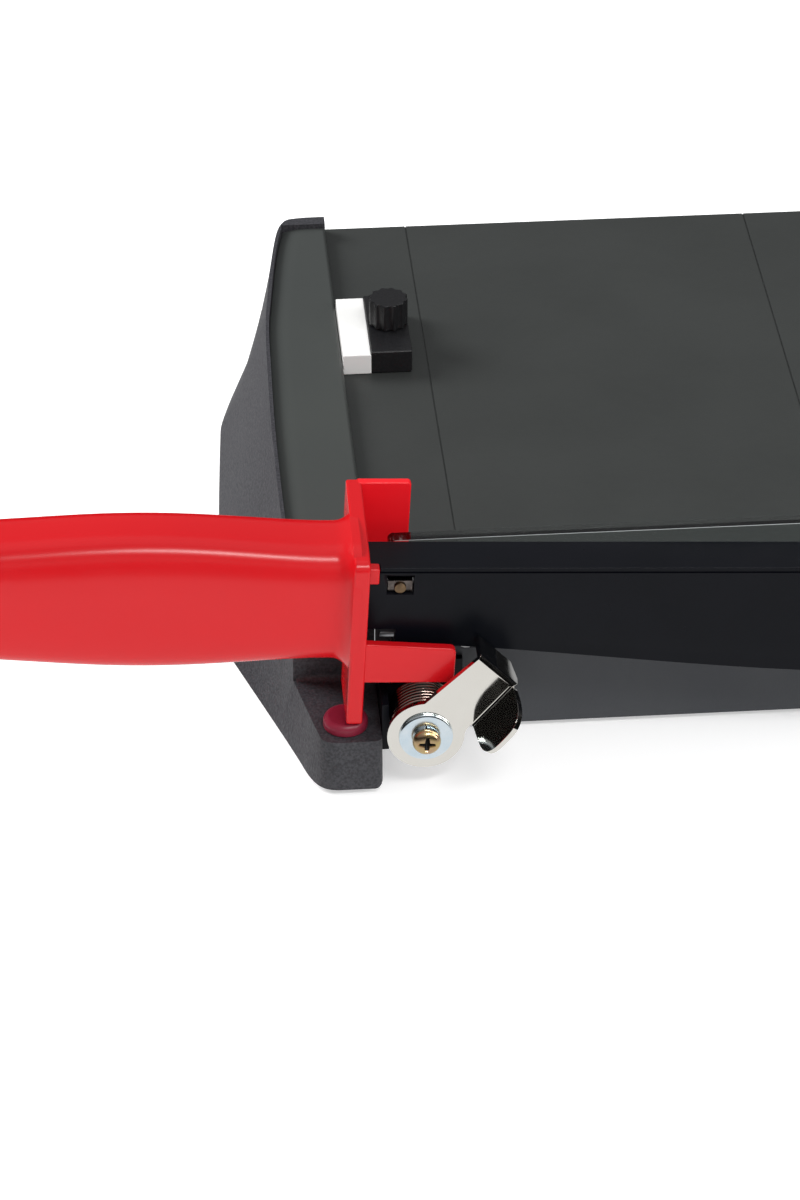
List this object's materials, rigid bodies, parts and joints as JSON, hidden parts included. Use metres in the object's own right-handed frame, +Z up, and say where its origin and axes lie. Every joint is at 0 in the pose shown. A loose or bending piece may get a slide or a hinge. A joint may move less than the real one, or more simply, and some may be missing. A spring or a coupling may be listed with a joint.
{
  "type": "lever cutter",
  "caption": "Lever cutter with a flat table, a pivoted blade arm with a moulded handle and hand plate, a turning safety latch, a clear finger guard and a sliding back stop.",
  "frame": {"origin": "centre of the footprint, on the bench", "axes": "+X along the cut, from the handle end to the pivot end; +Y across the table, away from the blade; +Z up"},
  "size_m": [0.5326, 0.2764, 0.0835],
  "materials": {
    "table_coating": "fine matt coating, dark grey",
    "cap_plastic": "fine spark-eroded texture, dark grey",
    "ledge_plastic": "smooth satin, dark grey",
    "rail_coating": "smooth satin coating, dark grey",
    "arm_coating": "semi-gloss coating, near black",
    "knife_steel": "ground steel",
    "plain_steel": "plain zinc",
    "nickel": "bright nickel plate",
    "blue_zinc": "bright blue-passivated zinc",
    "yellow_zinc": "yellow-passivated zinc",
    "brass": "turned brass",
    "red_plastic": "satin-gloss moulded red",
    "bumper_rubber": "dark red rubber",
    "foot_rubber": "matt black rubber",
    "black_plastic": "satin black",
    "white_plastic": "satin white",
    "clear_guard": "clear acrylic with polished edges"
  },
  "bodies": {
    "base": {"table_plate": "table_coating", "front_cap": "cap_plastic", "rear_cap": "cap_plastic", "paper_ledge": "ledge_plastic", "blade_side_rail": "rail_coating", "far_side_rail": "rail_coating", "cross_ribs": "rail_coating", "lower_knife": "knife_steel", "knife_screws": "plain_steel", "blade_guard": "clear_guard", "guard_front_bracket": "arm_coating", "guard_rear_block": "black_plastic", "guard_screws": "plain_steel", "bumper": "bumper_rubber", "rubber_feet": "foot_rubber", "cap_screws": "plain_steel", "latch_bracket": "rail_coating", "bracket_screws": "plain_steel", "latch_sleeve": "plain_steel", "latch_spring": "nickel", "latch_washer": "blue_zinc", "latch_lock_washer": "plain_steel", "latch_screw": "yellow_zinc", "latch_nut": "plain_steel", "pivot_bracket": "rail_coating", "pivot_backplate": "rail_coating", "pivot_screws": "plain_steel", "pivot_bolt": "plain_steel", "pivot_disc_spring": "plain_steel", "pivot_spacer": "brass", "pivot_nut": "plain_steel"},
    "arm": {"arm_beam": "arm_coating", "arm_cover": "arm_coating", "arm_bush": "brass", "blade": "knife_steel", "blade_screws": "plain_steel", "handle": "red_plastic", "handle_tang": "plain_steel", "tang_rivets": "plain_steel", "tang_nut": "nickel", "tang_screw": "brass", "grip_screw": "plain_steel"},
    "latch": {"latch_plate": "nickel"},
    "back_stop": {"stop_shoe": "white_plastic", "stop_block": "black_plastic", "stop_insert": "brass"},
    "stop_knob": {"stop_knob": "black_plastic"}
  },
  "joints": [
    {"name": "arm_hinge", "type": "hinge", "parent": "base", "child": "arm", "pos_m": [0.2123, -0.10627, 0.038], "axis": [0, 1, 0], "range_deg": [0, 55]},
    {"name": "latch_turn", "type": "hinge", "parent": "base", "child": "latch", "pos_m": [-0.11769, -0.12297, 0.02], "axis": [0, -1, 0], "range_deg": [0, 42]},
    {"name": "stop_slide", "type": "slide", "parent": "base", "child": "back_stop", "axis": [0, 1, 0], "range_m": [-0.105, 0.045]},
    {"name": "stop_screw", "type": "hinge", "parent": "back_stop", "child": "stop_knob", "pos_m": [-0.1142, 0.06173, 0.05], "axis": [0, 0, 1], "range_deg": [0, 180]}
  ]
}
